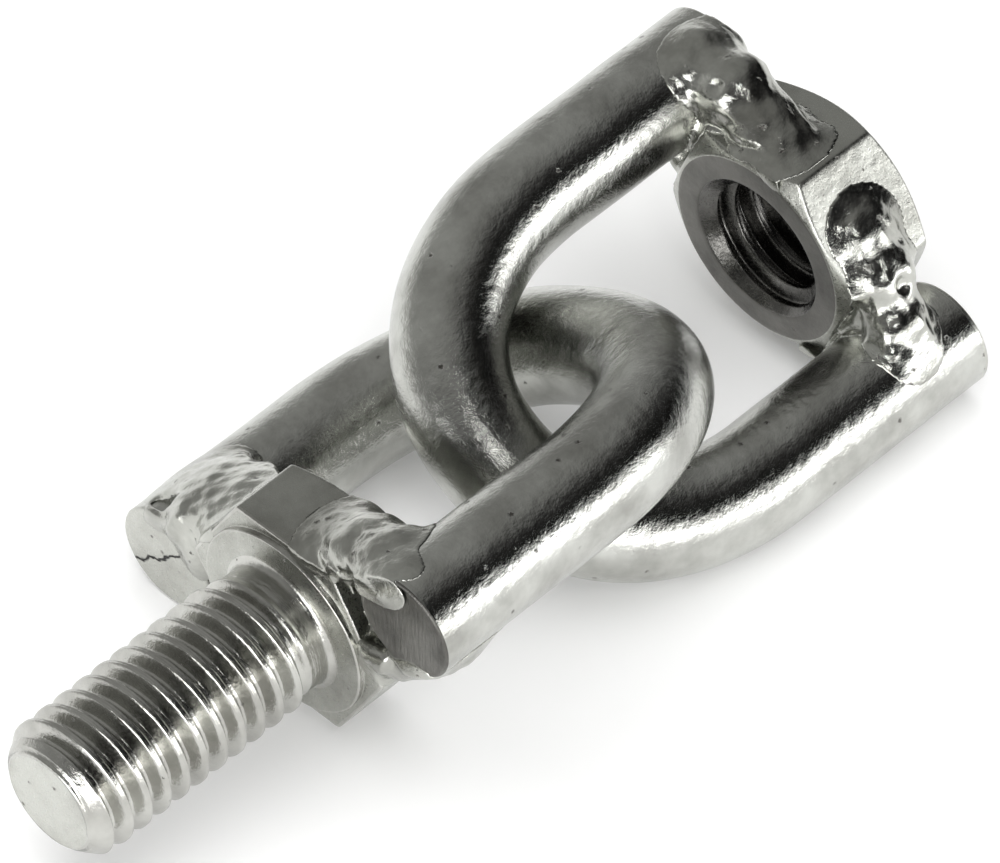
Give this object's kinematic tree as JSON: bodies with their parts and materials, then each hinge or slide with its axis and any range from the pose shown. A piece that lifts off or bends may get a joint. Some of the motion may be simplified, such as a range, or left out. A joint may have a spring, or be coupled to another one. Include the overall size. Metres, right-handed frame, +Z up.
{
  "type": "articulated bolt and nut coupling",
  "caption": "Flexible coupling: a threaded bolt and a threaded nut, each welded between the legs of a U-shaped bar bow, the two bows interlinked like chain.",
  "frame": {"origin": "centre of the bounding box's bottom, on the surface the coupling lies on", "axes": "+X along the coupling from the stud's tip to the nut, +Z up"},
  "size_m": [0.0694, 0.0302, 0.0207],
  "materials": {
    "fastener_zinc": "bright zinc plate over rolled thread and forged hexagon, satin flats",
    "bar_zinc": "bright zinc plate on drawn round bar, glossy with fine pits",
    "weld_zinc": "bright zinc plate over rippled weld bead"
  },
  "bodies": {
    "bolt_link": {"hex_bolt": "fastener_zinc", "bolt_bow": "bar_zinc", "bolt_weld_near_top": "weld_zinc", "bolt_weld_near_bottom": "weld_zinc", "bolt_weld_far_top": "weld_zinc", "bolt_weld_far_bottom": "weld_zinc"},
    "nut_link": {"hex_nut": "fastener_zinc", "nut_bow": "bar_zinc", "nut_weld_near_top": "weld_zinc", "nut_weld_near_bottom": "weld_zinc", "nut_weld_far_top": "weld_zinc", "nut_weld_far_bottom": "weld_zinc"}
  },
  "joints": [
    {"name": "bow_swing", "type": "hinge", "parent": "bolt_link", "child": "nut_link", "pos_m": [0.0137, 0, 0.01035], "axis": [0, -0.5, 0.866], "range_deg": [-100, 100]}
  ]
}
